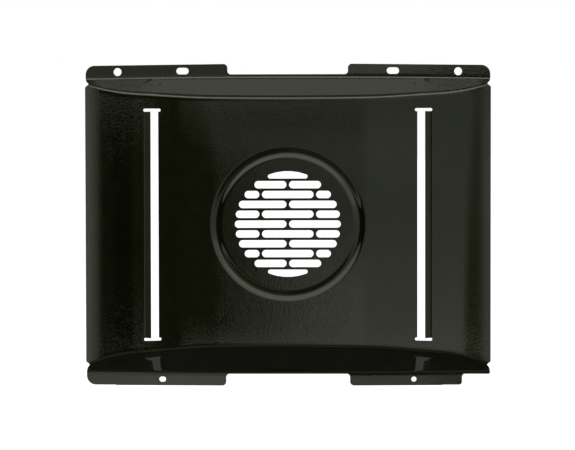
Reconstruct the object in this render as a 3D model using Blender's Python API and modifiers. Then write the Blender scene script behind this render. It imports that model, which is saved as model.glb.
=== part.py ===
# Motor fan cover for an oven's rear wall.
#
# One sheet of steel: drawn into a shallow curved trough, embossed with a round
# bead about the fan inlet, pierced, louvred at both sides and flanged along its
# top and bottom edges. It stands upright as it is fitted. The hollow side, which
# faces the fan, looks along -Y, and the flanges' -Y faces bear on the oven wall.
# The origin is the middle of the whole cover.

import math

import bmesh
import bpy

MM = 0.001

# The sheet and its folds. Radii are those of the hollow side's face.
SHEET = 1.2 * MM
DEPTH = 42.9 * MM
WALL_TAPER = math.radians(23.0)
FLANGE_BEND_RADIUS = 2.2 * MM
BASE_RADIUS = 3.5 * MM

# The panel's trough, across its width: a slow curve, a quicker one up to an even
# ramp, then a curl at the rim.
RIM_HALF_WIDTH = 203.7 * MM
MIDDLE_RADIUS = 1700.0 * MM
EASE_START = 74.0 * MM
EASE_RADIUS = 372.0 * MM
RAMP_ANGLE = math.radians(9.0)
CURL_START = RIM_HALF_WIDTH - 47.7 * MM
CURL_RADIUS = 97.0 * MM

# The fold between wall and flange, which the draw pulls in towards the ends.
BEND_HALF_HEIGHT = 147.6 * MM
BEND_BOW = 1.7 * MM

# The flanges: tabs with a narrow lip between them, each as wide beyond the fold as given.
FLANGE_HALF_WIDTH = RIM_HALF_WIDTH - 1.6 * MM
TAB_REACH = BEND_HALF_HEIGHT + 13.6 * MM
TOP_TAB_FALL = 1.6 * MM
BOTTOM_TAB_FALL = 0.7 * MM
TOP_LIP_REACH = BEND_HALF_HEIGHT + 3.2 * MM
BOTTOM_LIP_REACH = BEND_HALF_HEIGHT + 1.8 * MM
TOP_GAP_HALF = 60.2 * MM
BOTTOM_GAP_HALF = 62.1 * MM
SHORT_TAB_END = FLANGE_HALF_WIDTH - 28.0 * MM
TAB_CORNER_RADIUS = 9.0 * MM
TAB_EDGE_RADIUS = 4.0 * MM
SHORT_TAB_RADIUS = 3.0 * MM
ROOT_RADIUS = 3.4 * MM
SHEAR_STEP = 0.4 * MM
LEFT_STEP_AT = FLANGE_HALF_WIDTH - 29.6 * MM
RIGHT_STEP_AT = FLANGE_HALF_WIDTH - 48.1 * MM

# The relief notch where each wall ends beside the rim.
NOTCH_DEPTH = 1.3 * MM
NOTCH_HALF_HEIGHT = 1.5 * MM
RIM_CORNER_RADIUS = 1.8 * MM

# Screw holes in the tabs, set in from the flange's ends and out from the fold.
TOP_ROUND_DIAMETER = 8.0 * MM
TOP_ROUND_AT = (FLANGE_HALF_WIDTH - 32.0 * MM, BEND_HALF_HEIGHT + 5.8 * MM)
TOP_SLOT_LENGTH = 12.4 * MM
TOP_SLOT_WIDTH = 6.6 * MM
TOP_SLOT_AT = (FLANGE_HALF_WIDTH - 97.0 * MM, BEND_HALF_HEIGHT + 6.6 * MM)
LEFT_SLOT_LENGTH = 6.8 * MM
LEFT_SLOT_WIDTH = 5.4 * MM
LOW_HOLE_DIAMETER = 5.2 * MM
LOW_HOLES_AT = (FLANGE_HALF_WIDTH - 76.1 * MM, BEND_HALF_HEIGHT + 7.2 * MM)

# The inlet and the louvres share a middle, which lies a little below the cover's.
INLET_DROP = 2.0 * MM

# The louvres: a tall slot at each side, whose outer edge is folded to the hollow side.
LOUVRE_HINGE = RIM_HALF_WIDTH - 55.5 * MM
WINDOW_INNER = LOUVRE_HINGE - 14.85 * MM
LOUVRE_SLOT = 5.6 * MM
LOUVRE_ANGLE = math.radians(52.0)
LOUVRE_BEND_RADIUS = 5.0 * MM
LOUVRE_END_GAP = 13.319 * MM
RELIEF_HEIGHT = 3.2 * MM
RELIEF_INNER_OVERRUN = 2.4 * MM
RELIEF_OUTER_OVERRUN = 0.3 * MM
RELIEF_END_RADIUS = 1.5 * MM

# The round bead about the inlet, raised to the hollow side.
BEAD_OUTER_RADIUS = 80.3 * MM
BEAD_INNER_RADIUS = BEAD_OUTER_RADIUS - 11.9 * MM
BEAD_HEIGHT = 3.0 * MM
BEAD_SQUARE_HALF = BEAD_OUTER_RADIUS + 1.7 * MM

# The inlet grille: rows of slots that end on one circle.
GRILLE_RADIUS = 55.0 * MM
SLOT_HEIGHT = 7.7 * MM
ROW_PITCH = 10.23 * MM
LENS_TIP_RADIUS = 2.2 * MM
OUTER_ROW = int((GRILLE_RADIUS - LENS_TIP_RADIUS) / ROW_PITCH)
SPLIT_GAP = 2.75 * MM
MIDDLE_SLOT_HALF = 26.75 * MM
LENS_EDGE = OUTER_ROW * ROW_PITCH - SLOT_HEIGHT / 2

# Fineness of the curves.
ARC_STEP = math.radians(15.0)
FOLD_STEPS = 5
MIDDLE_STEPS = 4
EASE_STEPS = 4
CURL_STEPS = 9
BEAD_SIDES = 72
BEAD_STEPS = 8
HOLE_SIDES = 24

ENAMEL_COLOUR = (0.012, 0.014, 0.008, 1.0)
ENAMEL_ROUGHNESS = 0.2

# Cutters run this far past the sheet. Slivers that a cut leaves are closed.
CUT_MARGIN = 6.0 * MM
MERGE = 0.00001
SLIVER = 0.02 * MM


def clear_scene():
    for thing in list(bpy.data.objects):
        bpy.data.objects.remove(thing, do_unlink=True)


def new_collection(name):
    collection = bpy.data.collections.new(name)
    bpy.context.scene.collection.children.link(collection)
    return collection


def enamel_material():
    material = bpy.data.materials.new("enamel")
    material.use_nodes = True
    shader = material.node_tree.nodes["Principled BSDF"]
    shader.inputs["Base Color"].default_value = ENAMEL_COLOUR
    shader.inputs["Roughness"].default_value = ENAMEL_ROUGHNESS
    shader.inputs["Metallic"].default_value = 0.0
    return material


# Depth is measured from the flanges' bearing face towards the oven's inside, +Y.
def to_y(depth):
    return depth - (DEPTH + SHEET) / 2


def arc_fall(radius, sine, run):
    """How far an arc falls over a run, from the slope whose sine is given."""
    return radius * (math.sqrt(1 - sine ** 2) - math.sqrt(1 - (sine + run / radius) ** 2))


def ease_end():
    return EASE_START + EASE_RADIUS * (math.sin(RAMP_ANGLE) - EASE_START / MIDDLE_RADIUS)


def panel_depth(x):
    """Depth of the panel's hollow face at a distance x from the middle."""
    across = abs(x)
    depth = DEPTH - arc_fall(MIDDLE_RADIUS, 0.0, min(across, EASE_START))
    if across > EASE_START:
        run = min(across, ease_end()) - EASE_START
        depth -= arc_fall(EASE_RADIUS, EASE_START / MIDDLE_RADIUS, run)
    if across > ease_end():
        depth -= (min(across, CURL_START) - ease_end()) * math.tan(RAMP_ANGLE)
    if across > CURL_START:
        depth -= arc_fall(CURL_RADIUS, math.sin(RAMP_ANGLE), across - CURL_START)
    return depth


def bead_rise(radius):
    """How far the bead stands out of the panel at a radius from the middle."""
    part = (BEAD_OUTER_RADIUS - radius) / (BEAD_OUTER_RADIUS - BEAD_INNER_RADIUS)
    if part < 0 or part > 1:
        return 0.0
    return BEAD_HEIGHT * math.sin(math.pi * part) ** 2


def bend_height(x):
    """Height at which the wall's line meets the flange's plane."""
    return BEND_HALF_HEIGHT - BEND_BOW * (x / FLANGE_HALF_WIDTH) ** 2


def from_inlet(height):
    """A height measured from the middle of the inlet and the louvres."""
    return height + INLET_DROP


def foot_height(x):
    """Height at which the wall's line meets the panel."""
    return bend_height(x) - panel_depth(x) * math.tan(WALL_TAPER)


def louvre_window_end():
    return foot_height(LOUVRE_HINGE) - LOUVRE_END_GAP - RELIEF_HEIGHT / 2


def half_columns():
    """Distances from the middle at which the sheet has a line of points."""
    columns = even_steps(0.0, BEAD_SQUARE_HALF, MIDDLE_STEPS)
    columns += even_steps(BEAD_SQUARE_HALF, ease_end(), EASE_STEPS)[1:]
    columns += [WINDOW_INNER, LOUVRE_HINGE]
    columns += even_steps(CURL_START, RIM_HALF_WIDTH, CURL_STEPS)
    return sorted(columns)


def even_steps(start, end, steps):
    return [start + (end - start) * step / steps for step in range(steps + 1)]


def fold_points(corner, before, after, radius):
    """Points of a round fold at a corner between two directions, as (height, depth)."""
    turn = math.acos(before[0] * after[0] + before[1] * after[1])
    reach = radius * math.tan(turn / 2)
    side = math.copysign(1.0, before[0] * after[1] - before[1] * after[0])
    start = (corner[0] - reach * before[0], corner[1] - reach * before[1])
    centre = (start[0] - side * radius * before[1], start[1] + side * radius * before[0])
    points = []
    for step in range(FOLD_STEPS + 1):
        angle = side * turn * step / FOLD_STEPS
        spoke = (start[0] - centre[0], start[1] - centre[1])
        points.append((
            centre[0] + spoke[0] * math.cos(angle) - spoke[1] * math.sin(angle),
            centre[1] + spoke[0] * math.sin(angle) + spoke[1] * math.cos(angle),
        ))
    return points


def half_section(x, side):
    """The hollow face from the top or bottom flange edge to the inlet's middle."""
    depth = panel_depth(x)
    bend = bend_height(x)
    along_flange = (-1.0, 0.0)
    down_wall = (-math.sin(WALL_TAPER), math.cos(WALL_TAPER))
    base = (foot_height(x), depth)
    section = [(TAB_REACH + CUT_MARGIN, 0.0)]
    section += fold_points((bend, 0.0), along_flange, down_wall, FLANGE_BEND_RADIUS)
    section += fold_points(base, down_wall, along_flange, BASE_RADIUS)
    middle = -side * INLET_DROP
    section += [(middle + reach, depth) for reach in (louvre_window_end(), BEAD_SQUARE_HALF, 0.0)]
    return section


def drawn_sheet():
    """The drawn and flanged sheet's hollow face, lofted over a flat grid."""
    half = half_columns()
    columns = [-x for x in reversed(half[1:])] + half
    rows = len(half_section(0.0, 1)) * 2 - 1
    sheet = bmesh.new()
    bmesh.ops.create_grid(sheet, x_segments=len(columns) - 1, y_segments=rows - 1, size=1.0)
    for vertex in sheet.verts:
        column = round((vertex.co.x + 1) / 2 * (len(columns) - 1))
        row = round((1 - vertex.co.y) / 2 * (rows - 1))
        side = 1 if row <= rows // 2 else -1
        height, depth = half_section(columns[column], side)[min(row, rows - 1 - row)]
        vertex.co = (columns[column], to_y(depth), side * height)
    return sheet


def in_louvre_window(face, side):
    centre = face.calc_center_median()
    across = WINDOW_INNER < centre.x * side < LOUVRE_HINGE
    return across and abs(from_inlet(centre.z)) < louvre_window_end()


def in_bead_square(point, margin):
    return max(abs(point.x), abs(from_inlet(point.z))) < BEAD_SQUARE_HALF + margin


def fold_louvre(sheet, side):
    """Opens one slot and folds its outer edge to the hollow side."""
    hinge = []
    window = [face for face in sheet.faces if in_louvre_window(face, side)]
    for face in window:
        for edge in face.edges:
            if all(abs(abs(vertex.co.x) - LOUVRE_HINGE) < MERGE for vertex in edge.verts):
                hinge.append(edge)
    bmesh.ops.delete(sheet, geom=window, context="FACES")
    blank = (LOUVRE_HINGE - WINDOW_INNER) / math.cos(RAMP_ANGLE) - LOUVRE_SLOT
    turn = LOUVRE_ANGLE + RAMP_ANGLE
    bent_length = (LOUVRE_BEND_RADIUS + SHEET / 2) * turn
    edges = hinge
    angle = -RAMP_ANGLE
    for step in range(FOLD_STEPS):
        middle = angle + turn / FOLD_STEPS / 2
        chord = 2 * LOUVRE_BEND_RADIUS * math.sin(turn / FOLD_STEPS / 2)
        edges = extrude_edges(sheet, edges, (-side * chord * math.cos(middle), -chord * math.sin(middle)))
        angle += turn / FOLD_STEPS
    flat = blank - bent_length
    extrude_edges(sheet, edges, (-side * flat * math.cos(angle), -flat * math.sin(angle)))


def extrude_edges(sheet, edges, move):
    """Extrudes edges by a step in X and Y, and gives back the new edges."""
    made = bmesh.ops.extrude_edge_only(sheet, edges=edges)["geom"]
    for vertex in made:
        if isinstance(vertex, bmesh.types.BMVert):
            vertex.co.x += move[0]
            vertex.co.y += move[1]
    return [edge for edge in made if isinstance(edge, bmesh.types.BMEdge)]


def emboss_bead(sheet):
    """Replaces the panel's middle square with a round bead about a disc."""
    square = [face for face in sheet.faces if in_bead_square(face.calc_center_median(), 0.0)]
    bmesh.ops.delete(sheet, geom=square, context="FACES")
    border = [
        edge for edge in sheet.edges
        if edge.is_boundary and all(in_bead_square(vertex.co, MERGE) for vertex in edge.verts)
    ]
    ring = bmesh.ops.create_circle(sheet, radius=BEAD_OUTER_RADIUS, segments=BEAD_SIDES)["verts"]
    for vertex in ring:
        vertex.co = (vertex.co.x, 0.0, vertex.co.y - INLET_DROP)
    edges = list({edge for vertex in ring for edge in vertex.link_edges})
    rim = {vertex for edge in border + edges for vertex in edge.verts}
    for vertex in rim:
        vertex.co.y = 0.0
    bmesh.ops.triangle_fill(sheet, use_beauty=True, edges=border + edges)
    for vertex in rim:
        lay_on_panel(vertex, 1.0)
    for radius in even_steps(BEAD_OUTER_RADIUS, BEAD_INNER_RADIUS, BEAD_STEPS)[1:]:
        made = bmesh.ops.extrude_edge_only(sheet, edges=edges)["geom"]
        for vertex in made:
            if isinstance(vertex, bmesh.types.BMVert):
                lay_on_panel(vertex, radius / math.hypot(vertex.co.x, from_inlet(vertex.co.z)))
        edges = [edge for edge in made if isinstance(edge, bmesh.types.BMEdge)]
    fill_disc(sheet, edges)


def fill_disc(sheet, edges):
    """Fills the bead's inner ring, cut across where the panel's curve bends it."""
    disc = bmesh.ops.contextual_create(sheet, geom=edges)["faces"]
    for x in half_columns()[:MIDDLE_STEPS]:
        for side in (-1, 1):
            around = disc + list({edge for face in disc for edge in face.edges})
            made = bmesh.ops.bisect_plane(
                sheet, geom=around, dist=MERGE, plane_co=(side * x, 0, 0), plane_no=(1, 0, 0)
            )["geom"]
            disc = [piece for piece in made if isinstance(piece, bmesh.types.BMFace)]
    for vertex in {vertex for face in disc for vertex in face.verts}:
        lay_on_panel(vertex, 1.0)
    bmesh.ops.triangulate(sheet, faces=disc)


def lay_on_panel(vertex, spread):
    """Spreads a point from the inlet's middle and puts it on the hollow face, bead and all."""
    x = vertex.co.x * spread
    height = from_inlet(vertex.co.z) * spread
    depth = panel_depth(x) - bead_rise(math.hypot(x, height))
    vertex.co = (x, to_y(depth), height - INLET_DROP)


def face_the_hollow_side(sheet):
    """Turns every face's normal to the hollow side, -Y."""
    bmesh.ops.recalc_face_normals(sheet, faces=sheet.faces)
    disc = min(sheet.faces, key=lambda face: face.calc_center_median().xz.length)
    if disc.normal.y > 0:
        bmesh.ops.reverse_faces(sheet, faces=sheet.faces)


def arc_points(centre, radius, start, end):
    """Points of an arc between two angles, at an even step near ARC_STEP."""
    steps = max(2, math.ceil(abs(end - start) / ARC_STEP))
    points = []
    for step in range(steps + 1):
        angle = start + (end - start) * step / steps
        points.append((centre[0] + radius * math.cos(angle), centre[1] + radius * math.sin(angle)))
    return points


def rounded_outline(corners):
    """An outline from corners given as (x, height, radius)."""
    points = []
    for index, (x, height, radius) in enumerate(corners):
        if radius == 0.0:
            points.append((x, height))
            continue
        last = corners[index - 1]
        following = corners[(index + 1) % len(corners)]
        points += corner_arc((x, height), last, following, radius)
    return points


def corner_arc(corner, last, following, radius):
    """The arc that rounds a corner between its neighbours."""
    back = math.atan2(last[1] - corner[1], last[0] - corner[0])
    ahead = math.atan2(following[1] - corner[1], following[0] - corner[0])
    opening = (ahead - back + math.pi) % (2 * math.pi) - math.pi
    middle = back + opening / 2
    away = radius / math.sin(abs(opening) / 2)
    centre = (corner[0] + away * math.cos(middle), corner[1] + away * math.sin(middle))
    turn = (math.pi - abs(opening)) * math.copysign(1.0, opening)
    start = middle + math.pi + turn / 2
    return arc_points(centre, radius, start, start - turn)


def mirrored(points):
    return [(-x, height) for x, height in reversed(points)]


def obround(x_from, x_to, height, thickness):
    """A level slot with full round ends."""
    radius = thickness / 2
    right = arc_points((x_to - radius, height), radius, -math.pi / 2, math.pi / 2)
    left = arc_points((x_from + radius, height), radius, math.pi / 2, math.pi * 3 / 2)
    return right + left


def hole(x, height, diameter):
    points = []
    for side in range(HOLE_SIDES):
        angle = 2 * math.pi * side / HOLE_SIDES
        points.append((x + diameter / 2 * math.cos(angle), height + diameter / 2 * math.sin(angle)))
    return points


def notch_corners():
    """The relief notch and rim corner at the upper right, from the tab downwards."""
    base = foot_height(RIM_HALF_WIDTH)
    outside = RIM_HALF_WIDTH + CUT_MARGIN
    rim = RIM_HALF_WIDTH + SHEET * math.sin(RAMP_ANGLE)
    return [
        (FLANGE_HALF_WIDTH, base + NOTCH_HALF_HEIGHT, 0.0),
        (FLANGE_HALF_WIDTH - NOTCH_DEPTH, base, 0.0),
        (rim - RIM_CORNER_RADIUS, base - NOTCH_HALF_HEIGHT, 0.0),
        (rim, base - NOTCH_HALF_HEIGHT - RIM_CORNER_RADIUS, 0.0),
        (outside, base - NOTCH_HALF_HEIGHT - RIM_CORNER_RADIUS, 0.0),
    ]


def flip_x(corners):
    return [(-x, height, radius) for x, height, radius in reversed(corners)]


def flip_height(corners):
    return [(x, -height, radius) for x, height, radius in reversed(corners)]


def tab_fall(x, gap_half, fall):
    """How far a tab's edge has dropped at a distance x from the middle."""
    return fall * (x - gap_half) / (FLANGE_HALF_WIDTH - gap_half)


def blank_outline():
    """The trimmed outline of the whole cover, seen from the hollow side."""
    top_outer = TAB_REACH - TOP_TAB_FALL
    top_right = [
        (TOP_GAP_HALF, TOP_LIP_REACH, ROOT_RADIUS),
        (TOP_GAP_HALF, TAB_REACH, TAB_EDGE_RADIUS),
        (FLANGE_HALF_WIDTH, top_outer, TAB_CORNER_RADIUS),
    ] + notch_corners()
    left_fall = tab_fall(LEFT_STEP_AT, BOTTOM_GAP_HALF, BOTTOM_TAB_FALL)
    bottom_left = [
        (-FLANGE_HALF_WIDTH, -(TAB_REACH - BOTTOM_TAB_FALL - SHEAR_STEP), TAB_CORNER_RADIUS),
        (-LEFT_STEP_AT - SHEAR_STEP, -(TAB_REACH - left_fall - SHEAR_STEP), 0.0),
        (-LEFT_STEP_AT, -(TAB_REACH - left_fall), 0.0),
        (-BOTTOM_GAP_HALF, -TAB_REACH, TAB_EDGE_RADIUS),
        (-BOTTOM_GAP_HALF, -BOTTOM_LIP_REACH, ROOT_RADIUS),
    ]
    right_fall = tab_fall(RIGHT_STEP_AT, BOTTOM_GAP_HALF, BOTTOM_TAB_FALL)
    end_fall = tab_fall(SHORT_TAB_END, BOTTOM_GAP_HALF, BOTTOM_TAB_FALL)
    bottom_right = [
        (BOTTOM_GAP_HALF, -BOTTOM_LIP_REACH, ROOT_RADIUS),
        (BOTTOM_GAP_HALF, -TAB_REACH, TAB_EDGE_RADIUS),
        (RIGHT_STEP_AT, -(TAB_REACH - right_fall), 0.0),
        (RIGHT_STEP_AT + SHEAR_STEP, -(TAB_REACH - right_fall - SHEAR_STEP), 0.0),
        (SHORT_TAB_END, -(TAB_REACH - end_fall - SHEAR_STEP), SHORT_TAB_RADIUS),
        (SHORT_TAB_END, -BOTTOM_LIP_REACH, SHORT_TAB_RADIUS),
        (FLANGE_HALF_WIDTH, -BOTTOM_LIP_REACH, ROOT_RADIUS / 2),
    ]
    right = top_right + flip_height(notch_corners())
    left = flip_x(top_right)
    lower_left_notch = flip_x(flip_height(notch_corners()))
    return rounded_outline(right + list(reversed(bottom_right)) + list(reversed(bottom_left))
                           + lower_left_notch + left)


def screw_holes():
    """The outlines of the tabs' screw holes."""
    outlines = []
    for side in (-1, 1):
        outlines.append(hole(side * TOP_ROUND_AT[0], TOP_ROUND_AT[1], TOP_ROUND_DIAMETER))
        centre = side * TOP_SLOT_AT[0]
        half = TOP_SLOT_LENGTH / 2
        outlines.append(obround(centre - half, centre + half, TOP_SLOT_AT[1], TOP_SLOT_WIDTH))
    left = -LOW_HOLES_AT[0]
    half = LEFT_SLOT_LENGTH / 2
    outlines.append(obround(left - half, left + half, -LOW_HOLES_AT[1], LEFT_SLOT_WIDTH))
    outlines.append(hole(LOW_HOLES_AT[0], -LOW_HOLES_AT[1], LOW_HOLE_DIAMETER))
    return outlines


def louvre_reliefs():
    """The cross cuts at both ends of each louvre."""
    outlines = []
    for side in (-1, 1):
        inner = side * (WINDOW_INNER - RELIEF_INNER_OVERRUN)
        outer = side * (LOUVRE_HINGE + RELIEF_OUTER_OVERRUN)
        low, high = sorted((inner, outer))
        for level in (-1, 1):
            middle = level * louvre_window_end() - INLET_DROP
            corners = [
                (low, middle - RELIEF_HEIGHT / 2, RELIEF_END_RADIUS),
                (high, middle - RELIEF_HEIGHT / 2, RELIEF_END_RADIUS),
                (high, middle + RELIEF_HEIGHT / 2, RELIEF_END_RADIUS),
                (low, middle + RELIEF_HEIGHT / 2, RELIEF_END_RADIUS),
            ]
            outlines.append(rounded_outline(corners))
    return outlines


def row_end(height):
    """Where a full-round slot at a height touches the grille's circle."""
    radius = SLOT_HEIGHT / 2
    return math.sqrt((GRILLE_RADIUS - radius) ** 2 - height ** 2) + radius


def split_row(height):
    end = row_end(height)
    return [
        obround(-end, -SPLIT_GAP / 2, height, SLOT_HEIGHT),
        obround(SPLIT_GAP / 2, end, height, SLOT_HEIGHT),
    ]


def staggered_row(height):
    end = row_end(height)
    start = MIDDLE_SLOT_HALF + SPLIT_GAP
    if end - start < SLOT_HEIGHT:
        return [obround(-end, end, height, SLOT_HEIGHT)]
    return [
        obround(-end, -start, height, SLOT_HEIGHT),
        obround(-MIDDLE_SLOT_HALF, MIDDLE_SLOT_HALF, height, SLOT_HEIGHT),
        obround(start, end, height, SLOT_HEIGHT),
    ]


def lens(level):
    """The outermost slot: straight on the inner side, on the circle on the other."""
    tip_height = LENS_EDGE + LENS_TIP_RADIUS
    tip_x = math.sqrt((GRILLE_RADIUS - LENS_TIP_RADIUS) ** 2 - tip_height ** 2)
    meet = math.atan2(tip_height, tip_x)
    right = arc_points((tip_x, tip_height), LENS_TIP_RADIUS, -math.pi / 2, meet)
    crown = arc_points((0.0, 0.0), GRILLE_RADIUS, meet, math.pi - meet)
    outline = right + crown[1:-1] + mirrored(right)
    return [(x, level * height) for x, height in outline]


def grille_slots():
    outlines = [lens(-1), lens(1)]
    for row in range(-OUTER_ROW + 1, OUTER_ROW):
        height = row * ROW_PITCH
        outlines += staggered_row(height) if row % 2 else split_row(height)
    return [[(x, height - INLET_DROP) for x, height in outline] for outline in outlines]


def cutter(name, outlines, collection):
    """A set of prisms along Y, one for each outline, kept as a guide for a cut."""
    flat = bpy.data.curves.new(name + "_outline", "CURVE")
    flat.dimensions = "2D"
    flat.fill_mode = "BOTH"
    flat.extrude = (DEPTH + SHEET) / 2 + CUT_MARGIN
    for outline in outlines:
        spline = flat.splines.new("POLY")
        spline.points.add(len(outline) - 1)
        for point, (x, height) in zip(spline.points, outline):
            point.co = (x, height, 0.0, 1.0)
        spline.use_cyclic_u = True
    drawing = bpy.data.objects.new(name + "_outline", flat)
    drawing.rotation_euler = (math.pi / 2, 0.0, 0.0)
    collection.objects.link(drawing)
    bpy.context.view_layer.update()
    evaluated = drawing.evaluated_get(bpy.context.evaluated_depsgraph_get())
    mesh = bpy.data.meshes.new_from_object(evaluated)
    solid = bpy.data.objects.new(name, mesh)
    solid.matrix_world = drawing.matrix_world
    collection.objects.link(solid)
    bpy.data.objects.remove(drawing, do_unlink=True)
    weld(mesh)
    solid.hide_render = True
    solid.display_type = "WIRE"
    return solid


def weld(mesh):
    shape = bmesh.new()
    shape.from_mesh(mesh)
    bmesh.ops.remove_doubles(shape, verts=shape.verts, dist=MERGE)
    bmesh.ops.recalc_face_normals(shape, faces=shape.faces)
    shape.to_mesh(mesh)
    shape.free()


def cut(piece, operation, tool):
    boolean = piece.modifiers.new(tool.name, "BOOLEAN")
    boolean.operation = operation
    boolean.solver = "EXACT"
    boolean.object = tool


def fan_cover(parts, cutters):
    """The whole cover: draw, fold, thicken, trim and pierce."""
    sheet = drawn_sheet()
    for side in (-1, 1):
        fold_louvre(sheet, side)
    emboss_bead(sheet)
    face_the_hollow_side(sheet)
    mesh = bpy.data.meshes.new("fan_cover")
    sheet.to_mesh(mesh)
    sheet.free()
    mesh.materials.append(enamel_material())
    mesh.shade_smooth()
    mesh.set_sharp_from_angle(angle=math.radians(30.0))
    piece = bpy.data.objects.new("fan_cover", mesh)
    parts.objects.link(piece)
    thicken = piece.modifiers.new("sheet", "SOLIDIFY")
    thicken.thickness = SHEET
    thicken.offset = -1.0
    thicken.use_even_offset = True
    cut(piece, "INTERSECT", cutter("trim_blank", [blank_outline()], cutters))
    cut(piece, "DIFFERENCE", cutter("pierce_screw_holes", screw_holes(), cutters))
    cut(piece, "DIFFERENCE", cutter("pierce_louvre_ends", louvre_reliefs(), cutters))
    cut(piece, "DIFFERENCE", cutter("pierce_grille", grille_slots(), cutters))
    close = piece.modifiers.new("close_slivers", "WELD")
    close.merge_threshold = SLIVER
    return piece


def main():
    clear_scene()
    parts = new_collection("motor_fan_cover")
    cutters = new_collection("cutters")
    fan_cover(parts, cutters)


main()
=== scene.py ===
# %% [markdown]
# # A fan cover in black enamel
#
# This lesson dresses one part: the sheet-steel cover that stands before the fan at the
# back of an oven. The real one is pressed from a single sheet, pierced, folded, and
# then coated with black glass enamel in a kiln. The enamel is what the eye sees, and
# it is nearly a black mirror, so most of the work goes into three things: a surface
# smooth enough to reflect well, the fine ripple of fired glass, and the studio that
# the glass reflects.
#
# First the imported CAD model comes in. It is the frame that everything is built in:
# metres, +Z up, and the hollow side of the cover looking along -Y.

# %% Load the frame
import math

import bpy
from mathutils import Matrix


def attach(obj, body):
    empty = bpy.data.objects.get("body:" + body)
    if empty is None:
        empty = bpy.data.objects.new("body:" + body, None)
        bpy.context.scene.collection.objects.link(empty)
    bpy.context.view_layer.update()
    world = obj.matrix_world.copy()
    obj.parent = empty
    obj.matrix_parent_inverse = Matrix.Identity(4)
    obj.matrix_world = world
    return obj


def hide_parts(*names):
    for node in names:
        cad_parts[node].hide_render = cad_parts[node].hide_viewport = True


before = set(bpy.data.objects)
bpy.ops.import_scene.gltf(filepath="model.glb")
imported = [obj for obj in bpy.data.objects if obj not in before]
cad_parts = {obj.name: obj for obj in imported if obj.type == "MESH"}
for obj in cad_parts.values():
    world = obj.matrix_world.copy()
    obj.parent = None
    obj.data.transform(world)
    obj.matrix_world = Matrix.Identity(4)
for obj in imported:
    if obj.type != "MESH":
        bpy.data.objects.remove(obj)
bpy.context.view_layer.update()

# %% [markdown]
# ## The measures
#
# Nearly all the measures are the CAD model's own. They are repeated here because the
# visible sheet is drawn again, finer, over the same form: a mirror shows every flat
# facet of a coarse mesh, and the CAD model is kept coarse on purpose. Two of them were
# judged once more by what they reflect, the bead's height and the louvres' fold, and
# both are a little lower here than in the CAD model.
#
# The first ones are what a press operator sets: the sheet, the depth of the draw, how
# far the walls lean, and the radius of each fold.

# %% Sheet and folds
MM = 0.001
SHEET = 1.2 * MM
DEPTH = 42.9 * MM
WALL_TAPER = math.radians(23.0)
FLANGE_BEND_RADIUS = 2.2 * MM
BASE_RADIUS = 3.5 * MM
BEND_HALF_HEIGHT = 147.6 * MM
BEND_BOW = 1.7 * MM
print("the sheet is", SHEET / MM, "mm thick and", DEPTH / MM, "mm deep")

# %% [markdown]
# Across its width the trough bends slowly in the middle, quicker further out, runs up an
# even ramp, and curls at the rim. Air from the fan leaves past the curled rims.

# %% The trough across the width
RIM_HALF_WIDTH = 203.7 * MM
MIDDLE_RADIUS = 1700.0 * MM
EASE_START = 74.0 * MM
EASE_RADIUS = 372.0 * MM
RAMP_ANGLE = math.radians(9.0)
CURL_START = 156.0 * MM
CURL_RADIUS = 97.0 * MM
EASE_END = EASE_START + EASE_RADIUS * (math.sin(RAMP_ANGLE) - EASE_START / MIDDLE_RADIUS)
print("the even ramp runs from", round(EASE_END / MM, 1), "to", CURL_START / MM, "mm")

# %% [markdown]
# The flanges bear on the oven's wall. Each has two tabs with a lip between them. The
# shears that trimmed the bottom tabs left a small step in their edges, and the tab at
# the lower right is shorter than the others.

# %% Flanges and tabs
FLANGE_HALF_WIDTH = 202.1 * MM
TAB_REACH = 161.2 * MM
TOP_TAB_FALL = 1.6 * MM
BOTTOM_TAB_FALL = 0.7 * MM
TOP_LIP_REACH = 150.8 * MM
BOTTOM_LIP_REACH = 149.4 * MM
TOP_GAP_HALF = 60.2 * MM
BOTTOM_GAP_HALF = 62.1 * MM
SHORT_TAB_END = 174.1 * MM
TAB_CORNER_RADIUS = 9.0 * MM
TAB_EDGE_RADIUS = 4.0 * MM
SHORT_TAB_RADIUS = 3.0 * MM
ROOT_RADIUS = 3.4 * MM
SHEAR_STEP = 0.4 * MM
LEFT_STEP_AT = 172.5 * MM
RIGHT_STEP_AT = 154.0 * MM
NOTCH_DEPTH = 1.3 * MM
NOTCH_HALF_HEIGHT = 1.5 * MM
RIM_CORNER_RADIUS = 1.8 * MM
print("the flanges are", 2 * FLANGE_HALF_WIDTH / MM, "mm wide")

# %% [markdown]
# A louvre is a long slot whose outer edge is folded up out of the panel. The window is
# what the slot and the fold together open, and a cross cut at each end lets the metal
# between them bend without tearing.

# %% Louvres
WINDOW_INNER = 133.35 * MM
LOUVRE_HINGE = 148.2 * MM
LOUVRE_SLOT = 7.25 * MM
LOUVRE_ANGLE = math.radians(24.5)
LOUVRE_BEND_RADIUS = 2.5 * MM
RELIEF_HALF_SPAN = 119.8 * MM
RELIEF_HEIGHT = 3.2 * MM
RELIEF_INNER_OVERRUN = 2.4 * MM
RELIEF_OUTER_OVERRUN = 0.3 * MM
RELIEF_END_RADIUS = 1.5 * MM
WINDOW_END = RELIEF_HALF_SPAN - RELIEF_HEIGHT / 2
print("each louvre's slot is cut", LOUVRE_SLOT / MM, "mm wide and then folded open")

# %% [markdown]
# The fan draws its air through the grille. The bead round it stiffens the thin panel
# there. Both sit a little below the cover's middle.

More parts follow.
